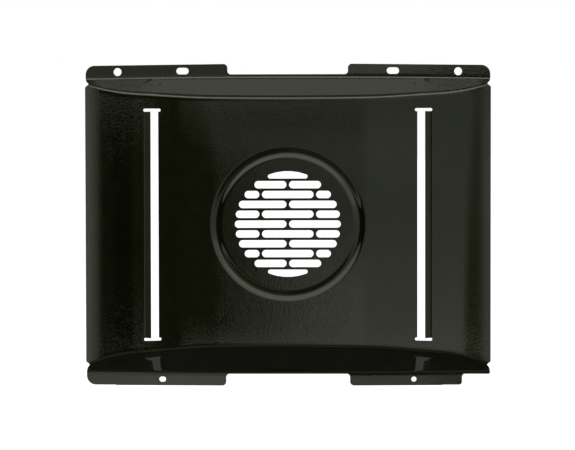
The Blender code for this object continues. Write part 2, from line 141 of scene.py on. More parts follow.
# %% Bead and grille
INLET_DROP = 2.0 * MM
BEAD_INNER_RADIUS = 68.4 * MM
BEAD_OUTER_RADIUS = 80.3 * MM
BEAD_HEIGHT = 1.25 * MM
GRILLE_RADIUS = 55.0 * MM
SLOT_HEIGHT = 7.7 * MM
ROW_PITCH = 10.23 * MM
SPLIT_GAP = 2.75 * MM
MIDDLE_SLOT_HALF = 26.75 * MM
LENS_EDGE = 47.3 * MM
LENS_TIP_RADIUS = 2.2 * MM
print("the grille is", 2 * GRILLE_RADIUS / MM, "mm across, its middle", INLET_DROP / MM, "mm low")

# %% [markdown]
# ## The drawn form as two functions
#
# The press gives the panel one depth for each distance from the middle: a slow curve,
# a quicker one, an even ramp, and a curl at the rim. Each of these is an arc or a
# line, so one function that adds their falls tells how deep the hollow face lies. The
# bead is a second function, a smooth round ridge about the inlet.


# %% Depth of the panel
def arc_fall(radius, sine, run):
    """How far an arc falls over a run, from the slope whose sine is given."""
    return radius * (math.sqrt(1 - sine ** 2) - math.sqrt(1 - (sine + run / radius) ** 2))


def panel_depth(x):
    across = abs(x)
    depth = DEPTH - arc_fall(MIDDLE_RADIUS, 0.0, min(across, EASE_START))
    if across > EASE_START:
        depth -= arc_fall(EASE_RADIUS, EASE_START / MIDDLE_RADIUS, min(across, EASE_END) - EASE_START)
    if across > EASE_END:
        depth -= (min(across, CURL_START) - EASE_END) * math.tan(RAMP_ANGLE)
    if across > CURL_START:
        depth -= arc_fall(CURL_RADIUS, math.sin(RAMP_ANGLE), across - CURL_START)
    return depth


def to_y(depth):
    return depth - (DEPTH + SHEET) / 2


print("depth at the middle and the rim, mm:",
      round(panel_depth(0) / MM, 1), round(panel_depth(RIM_HALF_WIDTH) / MM, 1))


# %% Rise of the bead
def bead_rise(radius):
    part = (BEAD_OUTER_RADIUS - radius) / (BEAD_OUTER_RADIUS - BEAD_INNER_RADIUS)
    if part < 0 or part > 1:
        return 0.0
    return BEAD_HEIGHT * math.sin(math.pi * part) ** 2


def panel_point(x, height):
    """A point of the hollow face, bead and all, by its place from the inlet's middle."""
    depth = panel_depth(x) - bead_rise(math.hypot(x, height))
    return (x, to_y(depth), height - INLET_DROP)


def from_inlet(height):
    return height + INLET_DROP


print("the bead stands", BEAD_HEIGHT / MM, "mm out of the panel")

# %% [markdown]
# ## From flange to panel: the fold line
#
# Seen from the side, half of the cover is a line that comes in along the flange, turns
# into the wall, runs down it, and turns again into the panel. Both turns are round,
# because enamel chips off a sharp fold. The line is worked out at every distance from
# the middle, and the sheet is then lofted through these lines.


# %% One side view of the sheet
FOLD_STEPS = 8
WALL_STEPS = 8
FLANGE_STEPS = 4
BASE_STEPS = 4
WINDOW_STEPS = 13
SQUARE_HALF = 84.0 * MM
SQUARE_STEPS = 32
TRIM_ALLOWANCE = 2.0 * MM


def even_steps(start, end, steps):
    return [start + (end - start) * step / steps for step in range(steps + 1)]


def fold_points(corner, before, after, radius):
    """Points of a round fold at a corner between two directions."""
    turn = math.acos(before[0] * after[0] + before[1] * after[1])
    reach = radius * math.tan(turn / 2)
    side = math.copysign(1.0, before[0] * after[1] - before[1] * after[0])
    start = (corner[0] - reach * before[0], corner[1] - reach * before[1])
    centre = (start[0] - side * radius * before[1], start[1] + side * radius * before[0])
    spoke = (start[0] - centre[0], start[1] - centre[1])
    points = []
    for angle in even_steps(0.0, side * turn, FOLD_STEPS):
        points.append((
            centre[0] + spoke[0] * math.cos(angle) - spoke[1] * math.sin(angle),
            centre[1] + spoke[0] * math.sin(angle) + spoke[1] * math.cos(angle),
        ))
    return points


# %% [markdown]
# Between two folds the line is straight, and points are added there too, so that all
# the mesh's faces stay small and nearly square. A renderer blends the shading between
# a face's corners, and it does this best on even faces.


# %% Half of the line, from flange edge to the inlet's middle
def between(start, end, steps):
    return [
        (start[0] + (end[0] - start[0]) * step / steps, start[1] + (end[1] - start[1]) * step / steps)
        for step in range(1, steps)
    ]


def bend_height(x):
    return BEND_HALF_HEIGHT - BEND_BOW * (x / FLANGE_HALF_WIDTH) ** 2


def half_section(x, side):
    depth = panel_depth(x)
    bend = bend_height(x)
    down_wall = (-math.sin(WALL_TAPER), math.cos(WALL_TAPER))
    base = (bend - depth * math.tan(WALL_TAPER), depth)
    upper_fold = fold_points((bend, 0.0), (-1.0, 0.0), down_wall, FLANGE_BEND_RADIUS)
    lower_fold = fold_points(base, down_wall, (-1.0, 0.0), BASE_RADIUS)
    edge = (TAB_REACH + TRIM_ALLOWANCE, 0.0)
    middle = (-side * INLET_DROP, depth)
    window = (middle[0] + WINDOW_END, depth)
    square = (middle[0] + SQUARE_HALF, depth)
    section = [edge] + between(edge, upper_fold[0], FLANGE_STEPS) + upper_fold
    section += between(upper_fold[-1], lower_fold[0], WALL_STEPS) + lower_fold
    section += between(lower_fold[-1], window, BASE_STEPS) + [window]
    section += between(window, square, WINDOW_STEPS) + [square]
    section += between(square, middle, SQUARE_STEPS) + [middle]
    return section


print("each half line has", len(half_section(0.0, 1)), "points")

# %% [markdown]
# Across the width the lines stand close together where the sheet bends most, at the
# curled rim, and further apart on the panel.

# %% Where the lines stand
STEPS_UP_TO = {
    SQUARE_HALF: SQUARE_STEPS, EASE_END: 12, WINDOW_INNER: 6, LOUVRE_HINGE: 6, CURL_START: 3,
    RIM_HALF_WIDTH: 26,
}
HALF_COLUMNS = [0.0]
for stretch_end, steps in STEPS_UP_TO.items():
    HALF_COLUMNS += even_steps(HALF_COLUMNS[-1], stretch_end, steps)[1:]
COLUMNS = [-x for x in reversed(HALF_COLUMNS[1:])] + HALF_COLUMNS
ROWS = 2 * len(half_section(0.0, 1)) - 1
print(len(COLUMNS), "columns and", ROWS, "rows of points")

# %% [markdown]
# ## Helpers for working as by hand
#
# Blender's operators act on what is selected. Two helpers keep that tidy: one selects
# a single object, the other selects parts of its mesh by their place.


# %% Selecting
def only(thing):
    bpy.ops.object.select_all(action="DESELECT")
    thing.select_set(True)
    bpy.context.view_layer.objects.active = thing


def select_parts(thing, kind, test):
    """Selects the faces, edges or points that pass a test, and opens edit mode."""
    only(thing)
    bpy.ops.object.mode_set(mode="EDIT")
    bpy.ops.mesh.select_mode(type=kind)
    bpy.ops.mesh.select_all(action="DESELECT")
    bpy.ops.object.mode_set(mode="OBJECT")
    mesh = thing.data
    parts = {"FACE": mesh.polygons, "EDGE": mesh.edges, "VERT": mesh.vertices}[kind]
    for part in parts:
        part.select = test(part)
    bpy.ops.object.mode_set(mode="EDIT")


def open_faces(thing, test):
    """Takes faces away and what then hangs loose, and goes back to object mode."""
    select_parts(thing, "FACE", test)
    bpy.ops.mesh.delete(type="ONLY_FACE")
    bpy.ops.mesh.select_mode(type="EDGE")
    bpy.ops.mesh.select_all(action="SELECT")
    bpy.ops.mesh.delete_loose(use_verts=True, use_edges=True, use_faces=False)
    bpy.ops.object.mode_set(mode="OBJECT")


bpy.ops.object.select_all(action="DESELECT")
print("nothing is selected, so the first new piece starts clean")

# %% [markdown]
# ## Drawing the sheet
#
# The press starts from a flat blank, and so does this: a grid primitive with one point
# for each crossing of a column and a row. Every point is then laid at its place on the
# drawn form. A press does this to the whole blank at once too, which is why the points
# are moved together rather than shaped one region at a time.

# %% A flat blank
bpy.ops.mesh.primitive_grid_add(
    x_subdivisions=len(COLUMNS) - 1, y_subdivisions=ROWS - 1, size=2.0
)
cover = bpy.context.active_object
cover.name = "enamelled_cover"
print("the blank has", len(cover.data.vertices), "points for", len(COLUMNS) * ROWS, "crossings")

# %% [markdown]
# The grid runs from -1 to 1 both ways, so a point's place on the blank tells its column
# and its row. The rows of the lower half are the upper half's, counted from the bottom.

# %% Press the blank to the drawn form
SECTIONS = {side: [half_section(x, side) for x in COLUMNS] for side in (-1, 1)}
for point in cover.data.vertices:
    column = round((point.co.x + 1) / 2 * (len(COLUMNS) - 1))
    row = round((1 - point.co.y) / 2 * (ROWS - 1))
    side = -1 if row > ROWS // 2 else 1
    height, depth = SECTIONS[side][column][min(row, ROWS - 1 - row)]
    point.co = (COLUMNS[column], to_y(depth), side * height)
print("the drawn sheet is", [round(side / MM, 1) for side in cover.dimensions], "mm")

# %% [markdown]
# ## The round bead
#
# A square grid can't follow a round ridge, and a mirror would show the steps. So a
# square is cut out of the panel, and its border is extruded inwards ring by ring: the
# first rings turn the square into a circle, the next ones climb over the bead, and the
# last ones close in on the grille. Because every ring is laid on the panel's own
# depth, the patch bends exactly as the trough does.


# %% Open a square in the panel
NEAR = 0.01 * MM


def square_reach(place):
    return max(abs(place.x), abs(from_inlet(place.z)))


def in_square(face):
    return square_reach(face.center) < SQUARE_HALF


open_faces(cover, in_square)
print("the sheet with its square opening has", len(cover.data.polygons), "faces")


# %% Find the opening's border
def square_border(edge):
    ends = [cover.data.vertices[index].co for index in edge.vertices]
    places = ends + [(ends[0] + ends[1]) / 2]
    return all(abs(square_reach(place) - SQUARE_HALF) < NEAR for place in places)


select_parts(cover, "EDGE", square_border)
bpy.ops.object.mode_set(mode="OBJECT")
print("its border has", sum(edge.select for edge in cover.data.edges), "edges")

# %% [markdown]
# Each ring is one extrusion of the last border, which stays selected. A square ring is
# part of the way from the square to the bead's foot, and a round one has a radius.

# %% Rings from the square to the bead and over it
BEAD_MARGIN = 1.0 * MM
BEAD_FOOT = BEAD_OUTER_RADIUS + BEAD_MARGIN
BEAD_FINISH = BEAD_INNER_RADIUS - BEAD_MARGIN
DISC_BORDER = 61.0 * MM
CORNER_RINGS = 4
BEAD_RINGS = 18
DISC_RINGS = 3
rings = [("square", part) for part in even_steps(0.0, 1.0, CORNER_RINGS)[1:-1]]
rings += [("round", radius) for radius in even_steps(BEAD_FOOT, BEAD_FINISH, BEAD_RINGS)]
rings += [("round", radius) for radius in even_steps(BEAD_FINISH, DISC_BORDER, DISC_RINGS)[1:]]
for kind, value in rings:
    bpy.ops.object.mode_set(mode="EDIT")
    bpy.ops.mesh.extrude_edges_move()
    bpy.ops.object.mode_set(mode="OBJECT")
    for point in cover.data.vertices:
        if point.select:
            angle = math.atan2(from_inlet(point.co.z), point.co.x)
            radius = value
            if kind == "square":
                corner = SQUARE_HALF / max(abs(math.cos(angle)), abs(math.sin(angle)))
                radius = corner + (BEAD_FOOT - corner) * value
            point.co = panel_point(radius * math.cos(angle), radius * math.sin(angle))
print("the bead is made of", len(rings), "rings")

# %% [markdown]
# The last ring is closed with a grid fill, which lays an even mesh of squares inside a
# round border. The new points are flat at first, so they are laid on the panel too.

# %% Close the disc
bpy.ops.object.mode_set(mode="EDIT")
bpy.ops.mesh.fill_grid(span=2 * SQUARE_STEPS)
bpy.ops.object.mode_set(mode="OBJECT")
for point in cover.data.vertices:
    if point.select:
        point.co = panel_point(point.co.x, from_inlet(point.co.z))
print("with its disc the sheet has", len(cover.data.polygons), "faces")

# %% [markdown]
# ## The louvres
#
# The two tall blades at the sides are the panel's own metal. The tool cuts a slot with
# a cross cut at each end, and then folds the slot's outer edge to the hollow side about
# a round bar. Here the faces from the slot to the bend are deleted, and the edge that is
# left is extruded: first around the bend in short steps, then straight to the end.


# %% Fold one louvre
BLADE_STEPS = 5


def push_edges(side, length, angle):
    """Extrudes the selected edges inwards and towards the hollow side."""
    move = (-side * length * math.cos(angle), -length * math.sin(angle), 0.0)
    bpy.ops.mesh.extrude_edges_move(TRANSFORM_OT_translate={"value": move})


def fold_louvre(side):
    def in_window(face):
        across = WINDOW_INNER < face.center.x * side < LOUVRE_HINGE
        return across and abs(from_inlet(face.center.z)) < WINDOW_END

    def on_hinge(edge):
        ends = [cover.data.vertices[index].co for index in edge.vertices]
        if any(abs(end.x * side - LOUVRE_HINGE) > NEAR for end in ends):
            return False
        return all(abs(from_inlet(end.z)) < WINDOW_END + NEAR for end in ends)

    open_faces(cover, in_window)
    select_parts(cover, "EDGE", on_hinge)
    turn = LOUVRE_ANGLE + RAMP_ANGLE
    step = turn / FOLD_STEPS
    chord = 2 * LOUVRE_BEND_RADIUS * math.sin(step / 2)
    angle = -RAMP_ANGLE
    for number in range(FOLD_STEPS):
        push_edges(side, chord, angle + step / 2)
        angle += step
    blank = (LOUVRE_HINGE - WINDOW_INNER) / math.cos(RAMP_ANGLE) - LOUVRE_SLOT
    flat = blank - (LOUVRE_BEND_RADIUS + SHEET / 2) * turn
    for number in range(BLADE_STEPS):
        push_edges(side, flat / BLADE_STEPS, angle)
    bpy.ops.object.mode_set(mode="OBJECT")
    print("a blade of", round(flat / MM, 1), "mm stands on the", "right" if side > 0 else "left")


for side in (-1, 1):
    fold_louvre(side)

# %% [markdown]
# ## From a surface to a sheet
#
# So far there is only the hollow side's face. It has to look along -Y before it is
# given a thickness, because Solidify puts the metal behind the face.

# %% Face the hollow side and thicken
only(cover)
bpy.ops.object.mode_set(mode="EDIT")
bpy.ops.mesh.select_all(action="SELECT")
bpy.ops.mesh.normals_make_consistent(inside=False)
bpy.ops.object.mode_set(mode="OBJECT")
middle_face = min(cover.data.polygons, key=lambda face: face.center.xz.length)
if middle_face.normal.y > 0:
    bpy.ops.object.mode_set(mode="EDIT")
    bpy.ops.mesh.flip_normals()
    bpy.ops.object.mode_set(mode="OBJECT")
thicken = cover.modifiers.new("sheet", "SOLIDIFY")
thicken.thickness = SHEET
thicken.offset = -1.0
thicken.use_even_offset = True
bpy.ops.object.modifier_apply(modifier=thicken.name)
print("the solid sheet has", len(cover.data.polygons), "faces")

# %% [markdown]
# ## Outlines for trimming and piercing
#
# The punches are prisms. Each starts as a circle primitive with as many points as the
# outline needs, its points are put on the outline, and one extrusion makes it a prism
# that passes through the whole depth. Curved stretches get a point every few degrees.

# %% Arcs and rounded corners
ARC_STEP = math.radians(9.0)


def arc_points(centre, radius, start, end):
    steps = max(3, math.ceil(abs(end - start) / ARC_STEP))
    return [
        (centre[0] + radius * math.cos(angle), centre[1] + radius * math.sin(angle))
        for angle in even_steps(start, end, steps)
    ]


def corner_arc(corner, last, following, radius):
    back = math.atan2(last[1] - corner[1], last[0] - corner[0])
    ahead = math.atan2(following[1] - corner[1], following[0] - corner[0])
    opening = (ahead - back + math.pi) % (2 * math.pi) - math.pi
    middle = back + opening / 2
    away = radius / math.sin(abs(opening) / 2)
    centre = (corner[0] + away * math.cos(middle), corner[1] + away * math.sin(middle))
    turn = (math.pi - abs(opening)) * math.copysign(1.0, opening)
    start = middle + math.pi + turn / 2
    return arc_points(centre, radius, start, start - turn)


def rounded_outline(corners):
    """An outline from corners given as (x, height, radius)."""
    points = []
    for index, (x, height, radius) in enumerate(corners):
        if radius == 0.0:
            points.append((x, height))
            continue
        following = corners[(index + 1) % len(corners)]
        points += corner_arc((x, height), corners[index - 1], following, radius)
    return points


print("a quarter round takes", len(arc_points((0, 0), 1, 0, math.pi / 2)), "points")


# %% [markdown]
# The outline is the same to the left and the right but for its bottom tabs, so a run of
# corners is drawn once and flipped. Where the wall's foot meets the rim there is a small
# notch, which keeps the fold from tearing there.

# %% The trimmed outline's corners
NOTCH_CLEARANCE = 6.0 * MM


def flip_x(corners):
    return [(-x, height, radius) for x, height, radius in reversed(corners)]


def flip_height(corners):
    return [(x, -height, radius) for x, height, radius in reversed(corners)]


def notch_corners():
    """The relief notch between tab and rim, at the upper right."""
    base = bend_height(RIM_HALF_WIDTH) - panel_depth(RIM_HALF_WIDTH) * math.tan(WALL_TAPER)
    outside = RIM_HALF_WIDTH + NOTCH_CLEARANCE
    rim = RIM_HALF_WIDTH + SHEET * math.sin(RAMP_ANGLE)
    lower = base - NOTCH_HALF_HEIGHT
    return [
        (FLANGE_HALF_WIDTH, base + NOTCH_HALF_HEIGHT, 0.0),
        (FLANGE_HALF_WIDTH - NOTCH_DEPTH, base, 0.0),
        (rim - RIM_CORNER_RADIUS, lower, 0.0),
        (rim, lower - RIM_CORNER_RADIUS, 0.0),
        (outside, lower - RIM_CORNER_RADIUS, 0.0),
    ]


def edge_fall(x):
    """How far the bottom tabs' edge has dropped at a distance x from the middle."""
    return BOTTOM_TAB_FALL * (x - BOTTOM_GAP_HALF) / (FLANGE_HALF_WIDTH - BOTTOM_GAP_HALF)


print("the notch has", len(notch_corners()), "corners")

# %% The blank's outline
TOP_RIGHT = [
    (TOP_GAP_HALF, TOP_LIP_REACH, ROOT_RADIUS),
    (TOP_GAP_HALF, TAB_REACH, TAB_EDGE_RADIUS),
    (FLANGE_HALF_WIDTH, TAB_REACH - TOP_TAB_FALL, TAB_CORNER_RADIUS),
] + notch_corners()
BOTTOM_LEFT = [
    (-FLANGE_HALF_WIDTH, -(TAB_REACH - BOTTOM_TAB_FALL - SHEAR_STEP), TAB_CORNER_RADIUS),
    (-LEFT_STEP_AT - SHEAR_STEP, -(TAB_REACH - edge_fall(LEFT_STEP_AT) - SHEAR_STEP), 0.0),
    (-LEFT_STEP_AT, -(TAB_REACH - edge_fall(LEFT_STEP_AT)), 0.0),
    (-BOTTOM_GAP_HALF, -TAB_REACH, TAB_EDGE_RADIUS),
    (-BOTTOM_GAP_HALF, -BOTTOM_LIP_REACH, ROOT_RADIUS),
]
BOTTOM_RIGHT = [
    (BOTTOM_GAP_HALF, -BOTTOM_LIP_REACH, ROOT_RADIUS),
    (BOTTOM_GAP_HALF, -TAB_REACH, TAB_EDGE_RADIUS),
    (RIGHT_STEP_AT, -(TAB_REACH - edge_fall(RIGHT_STEP_AT)), 0.0),
    (RIGHT_STEP_AT + SHEAR_STEP, -(TAB_REACH - edge_fall(RIGHT_STEP_AT) - SHEAR_STEP), 0.0),
    (SHORT_TAB_END, -(TAB_REACH - edge_fall(SHORT_TAB_END) - SHEAR_STEP), SHORT_TAB_RADIUS),
    (SHORT_TAB_END, -BOTTOM_LIP_REACH, SHORT_TAB_RADIUS),
    (FLANGE_HALF_WIDTH, -BOTTOM_LIP_REACH, ROOT_RADIUS / 2),
]
OUTLINE = rounded_outline(
    TOP_RIGHT + flip_height(notch_corners()) + list(reversed(BOTTOM_RIGHT))
    + list(reversed(BOTTOM_LEFT)) + flip_x(flip_height(notch_corners())) + flip_x(TOP_RIGHT)
)
print("the blank's outline has", len(OUTLINE), "points")


# %% [markdown]
# The top flange has a hole and a level slot on each side, and the bottom one a slot on
# the left and a hole on the right. A slot lets the cover shift a little before its screw
# is tight.

# %% Holes and slots
def obround(x_from, x_to, height, thickness):
    """A level slot with full round ends."""
    radius = thickness / 2
    right = arc_points((x_to - radius, height), radius, -math.pi / 2, math.pi / 2)
    left = arc_points((x_from + radius, height), radius, math.pi / 2, math.pi * 3 / 2)
    return right + left


def round_hole(x, height, diameter):
    return arc_points((x, height), diameter / 2, 0.0, 2 * math.pi)[:-1]


print("a hole of one diameter has", len(round_hole(0.0, 0.0, 1.0)), "points")

# %% Where the screws go
CORNER_HOLE_X = 170.1 * MM
CORNER_HOLE_HEIGHT = 153.4 * MM
CORNER_HOLE = 8.0 * MM
TOP_SLOT_X = 105.1 * MM
TOP_SLOT_HEIGHT = 154.2 * MM
TOP_SLOT_LENGTH = 12.4 * MM
TOP_SLOT_WIDTH = 6.6 * MM
LOWER_HOLE_X = 126.0 * MM
LOWER_HOLE_HEIGHT = -154.8 * MM
LOWER_HOLE = 5.2 * MM
LOWER_SLOT_LENGTH = 6.8 * MM
LOWER_SLOT_WIDTH = 5.4 * MM


def level_slot(x, height, length, width):
    return obround(x - length / 2, x + length / 2, height, width)


SCREW_HOLES = [
    round_hole(side * CORNER_HOLE_X, CORNER_HOLE_HEIGHT, CORNER_HOLE) for side in (-1, 1)
]
SCREW_HOLES += [
    level_slot(side * TOP_SLOT_X, TOP_SLOT_HEIGHT, TOP_SLOT_LENGTH, TOP_SLOT_WIDTH)
    for side in (-1, 1)
]
SCREW_HOLES += [
    level_slot(-LOWER_HOLE_X, LOWER_HOLE_HEIGHT, LOWER_SLOT_LENGTH, LOWER_SLOT_WIDTH),
    round_hole(LOWER_HOLE_X, LOWER_HOLE_HEIGHT, LOWER_HOLE),
]
print(len(SCREW_HOLES), "screw holes")


# %% The cross cuts at the louvres' ends
def relief(side, level):
    low, high = sorted((
        side * (WINDOW_INNER - RELIEF_INNER_OVERRUN), side * (LOUVRE_HINGE + RELIEF_OUTER_OVERRUN)
    ))
    bottom = level * WINDOW_END - RELIEF_HEIGHT / 2 - INLET_DROP
    top = bottom + RELIEF_HEIGHT
    return rounded_outline([
        (low, bottom, RELIEF_END_RADIUS), (high, bottom, RELIEF_END_RADIUS),
        (high, top, RELIEF_END_RADIUS), (low, top, RELIEF_END_RADIUS),
    ])


RELIEFS = [relief(side, level) for side in (-1, 1) for level in (-1, 1)]
print(len(RELIEFS), "cross cuts")


# %% [markdown]
# The grille has nine rows of slots and a lens-shaped slot above and below them. Even and
# odd rows are split at other places, as bricks are laid, which keeps the bars between
# them short and stiff. Each row ends where its round ends touch the grille's circle.

# %% The grille's rows
def row_end(height):
    """Where a full-round slot at a height touches the grille's circle."""
    radius = SLOT_HEIGHT / 2
    return math.sqrt((GRILLE_RADIUS - radius) ** 2 - height ** 2) + radius


def grille_row(row):
    height = row * ROW_PITCH
    end = row_end(height)
    if row % 2 == 0:
        spans = [(-end, -SPLIT_GAP / 2), (SPLIT_GAP / 2, end)]
    else:
        start = MIDDLE_SLOT_HALF + SPLIT_GAP
        spans = [(-end, -start), (-MIDDLE_SLOT_HALF, MIDDLE_SLOT_HALF), (start, end)]
    return [obround(low, high, height, SLOT_HEIGHT) for low, high in spans]


def lens(level):
    """The outermost slot: straight on the inner side, on the circle on the other."""
    tip_height = LENS_EDGE + LENS_TIP_RADIUS
    tip_x = math.sqrt((GRILLE_RADIUS - LENS_TIP_RADIUS) ** 2 - tip_height ** 2)
    meet = math.atan2(tip_height, tip_x)
    right = arc_points((tip_x, tip_height), LENS_TIP_RADIUS, -math.pi / 2, meet)
    crown = arc_points((0.0, 0.0), GRILLE_RADIUS, meet, math.pi - meet)[1:-1]
    left = [(-x, height) for x, height in reversed(right)]
    return [(x, level * height) for x, height in right + crown + left]


GRILLE = [lens(-1), lens(1)]
for row in range(-4, 5):
    GRILLE += grille_row(row)
GRILLE = [[(x, height - INLET_DROP) for x, height in slot] for slot in GRILLE]
print(len(GRILLE), "slots in the grille")

# %% [markdown]
# ## Punching
#
# One Boolean trims the blank to its outline, and one takes all the holes out. Both use
# the exact solver, because the slots end on the same circle and leave thin bars.


# %% Make a punch from outlines
PUNCH_REACH = 30.0 * MM


def punch(name, outlines):
    prisms = []
    for outline in outlines:
        bpy.ops.object.select_all(action="DESELECT")
        bpy.ops.mesh.primitive_circle_add(vertices=len(outline), fill_type="NGON")
        prism = bpy.context.active_object
        for point, (x, height) in zip(prism.data.vertices, outline):
            point.co = (x, -PUNCH_REACH, height)
        bpy.ops.object.mode_set(mode="EDIT")
        bpy.ops.mesh.select_all(action="SELECT")
        bpy.ops.mesh.extrude_region_move(
            TRANSFORM_OT_translate={"value": (0.0, 2 * PUNCH_REACH, 0.0)}
        )
        bpy.ops.mesh.select_all(action="SELECT")
        bpy.ops.mesh.normals_make_consistent(inside=False)
        bpy.ops.object.mode_set(mode="OBJECT")
        prisms.append(prism)
    for prism in prisms:
        prism.select_set(True)
    bpy.context.view_layer.objects.active = prisms[0]
    if len(prisms) > 1:
        bpy.ops.object.join()
    prisms[0].name = name
    return prisms[0]


def strike(operation, tool):
    only(cover)
    boolean = cover.modifiers.new(tool.name, "BOOLEAN")
    boolean.operation = operation
    boolean.solver = "EXACT"
    boolean.object = tool
    bpy.ops.object.modifier_apply(modifier=boolean.name)
    bpy.data.objects.remove(tool, do_unlink=True)
    print(operation.lower(), "leaves", len(cover.data.polygons), "faces")


# %% Trim and pierce
strike("INTERSECT", punch("trim", [OUTLINE]))
strike("DIFFERENCE", punch("pierce", SCREW_HOLES + RELIEFS + GRILLE))

# %% [markdown]
# ## Smooth faces, crisp edges
#
# Everything that turns by less than 30 degrees from face to face is one smooth
# surface. The cut edges stay crisp in the mesh, and the enamel's material rounds them.

# %% Shade the sheet
MERGE_WITHIN = 0.005 * MM
SMOOTH_BELOW = math.radians(30.0)
only(cover)
bpy.ops.object.mode_set(mode="EDIT")
bpy.ops.mesh.select_all(action="SELECT")
bpy.ops.mesh.remove_doubles(threshold=MERGE_WITHIN)
bpy.ops.object.mode_set(mode="OBJECT")
bpy.ops.object.shade_smooth_by_angle(angle=SMOOTH_BELOW)
cover.data.calc_loop_triangles()
print("the finished sheet has", len(cover.data.loop_triangles), "triangles and is",
      [round(side / MM, 1) for side in cover.dimensions], "mm")

# %% [markdown]
# ## Shader maths in plain Python
#
# A material is a net of nodes. Writing the sums as Python expressions keeps them
# readable: each operator below adds one Math node and gives back its output.


# %% A socket that can be reckoned with
class Value:
    def __init__(self, net, socket):
        self.net = net
        self.socket = socket

    def sum_node(self, operation, *others):
        return self.net.node("ShaderNodeMath", {"operation": operation}, [self, *others])

    def __add__(self, other):
        return self.sum_node("ADD", other)

    def __mul__(self, other):
        return self.sum_node("MULTIPLY", other)

    def __sub__(self, other):
        return self.sum_node("SUBTRACT", other)

    def __rsub__(self, other):
        return self.net.node("ShaderNodeMath", {"operation": "SUBTRACT"}, [other, self])

    def __neg__(self):
        return self * -1.0

    __radd__ = __add__
    __rmul__ = __mul__


# %% [markdown]
# Every other node comes from one method. Settings, such as a Math node's operation, can
# change which sockets a node has, so they are set before the sockets are filled.


# %% The net that makes the nodes
class Net:
    def __init__(self, tree):
        self.tree = tree

    def node(self, kind, settings=None, inputs=None, output=0):
        """Adds a node and gives back one output, or a list where output is a tuple."""
        node = self.tree.nodes.new(kind)
        for name, value in (settings or {}).items():
            setattr(node, name, value)
        named = inputs.items() if isinstance(inputs, dict) else enumerate(inputs or [])
        for key, value in named:
            if isinstance(value, Value):
                self.tree.links.new(value.socket, node.inputs[key])
            else:
                node.inputs[key].default_value = value
        if isinstance(output, tuple):
            return [Value(self, node.outputs[key]) for key in output]
        return Value(self, node.outputs[output]) if node.outputs else None

    def ramp(self, value, start, end, low=0.0, high=1.0):
        """Goes smoothly from low to high while value goes from start to end."""
        return self.node(
            "ShaderNodeMapRange", {"interpolation_type": "SMOOTHSTEP"},
            [value, start, end, low, high]
        )

    def noise(self, where, scale, detail=2.0, rough=0.5):
        return self.node(
            "ShaderNodeTexNoise", None,
            {"Vector": where, "Scale": scale, "Detail": detail, "Roughness": rough}
        )


def new_net(name):
    material = bpy.data.materials.new(name)
    material.use_nodes = True
    material.node_tree.nodes.clear()
    return material, Net(material.node_tree)


print("the shader helpers are ready")

# %% [markdown]
# ## The enamel
#
# Fired enamel is glass on steel. Its own colour is almost black with a trace of olive,
# and nearly all the light that leaves it is a mirror image, about 4 per cent of what
# stands in front. The glass is not flat: it has a fine ripple, two or three millimetres
# from crest to crest, called orange peel. The ripple is what turns a clean edge in
# the reflection into a sandy one. It is deeper towards the curled rims, where the glass
# ran a little in the kiln. Under it lies a slow wave of a few centimetres, which the
# press left in the steel.
#
# Ripple and wave are Bump nodes, because both are far too shallow for the mesh. The
# Bevel node rounds the punched edges, as the glass does when it melts over them.

# %% Ripple and edges
CELLS_TO_A_CREST = 2.0
PEEL_SCALE = 800.0
PEEL_DEPTH = 0.026 * MM
CURL_PEEL = 3.5
SWELL_START = 125.0 * MM
SWELL_END = 170.0 * MM
WAVE_SCALE = 40.0
WAVE_DEPTH = 0.010 * MM
EDGE_ROUND = 0.45 * MM

enamel, net = new_net("enamel")
place = net.node("ShaderNodeTexCoord", output="Object")
sideways = net.node("ShaderNodeSeparateXYZ", None, [place])
across = net.node("ShaderNodeMath", {"operation": "ABSOLUTE"}, [sideways])
swell = net.ramp(across, SWELL_START, SWELL_END, 1.0, CURL_PEEL)
rounded = net.node("ShaderNodeBevel", {"samples": 4}, {"Radius": EDGE_ROUND})
wave = net.node("ShaderNodeBump", None, {
    "Strength": 1.0, "Distance": WAVE_DEPTH, "Height": net.noise(place, WAVE_SCALE, 1.0),
    "Normal": rounded,
})
ripple = net.node("ShaderNodeBump", None, {
    "Strength": 1.0, "Distance": PEEL_DEPTH, "Height": net.noise(place, PEEL_SCALE, 0.5) * swell,
    "Normal": wave,
})
print("the ripple repeats about every", CELLS_TO_A_CREST / PEEL_SCALE / MM, "mm and the wave every",
      CELLS_TO_A_CREST / WAVE_SCALE / MM, "mm")

# %% [markdown]
# Under the gloss the glass is nearly black and faintly clouded, from the way the powder
# was dusted on. The same clouds make the gloss a trace duller here and there. The tint
# on the reflection gives the greenish grey that such glass has beside white paper.

# %% Colour and gloss
CLOUD_SCALE = 60.0
GLASS_IOR = 1.5
GLOSSIEST = 0.03
DULLEST = 0.05
BODY_DARK = (0.0014, 0.0018, 0.0004, 1.0)
BODY_LIGHT = (0.0026, 0.0031, 0.0009, 1.0)
GLASS_TINT = (0.96, 1.0, 0.82, 1.0)
cloud = net.noise(place, CLOUD_SCALE, 4.0, 0.6)
body = net.node(
    "ShaderNodeMix", {"data_type": "RGBA"},
    {"Factor": net.ramp(cloud, 0.35, 0.65), 6: BODY_DARK, 7: BODY_LIGHT}, output=2
)
gloss = net.ramp(cloud, 0.3, 0.7, GLOSSIEST, DULLEST)
surface = net.node("ShaderNodeBsdfPrincipled", None, {
    "Base Color": body, "Roughness": gloss, "IOR": GLASS_IOR, "Specular Tint": GLASS_TINT,
    "Normal": ripple,
})
net.node("ShaderNodeOutputMaterial", None, {"Surface": surface})
cover.data.materials.clear()
cover.data.materials.append(enamel)
print("the enamel has", len(net.tree.nodes), "nodes")

# %% [markdown]
# The visible sheet takes the place of the CAD model's plain one. It rides on the root
# body, because the cover has no joints.

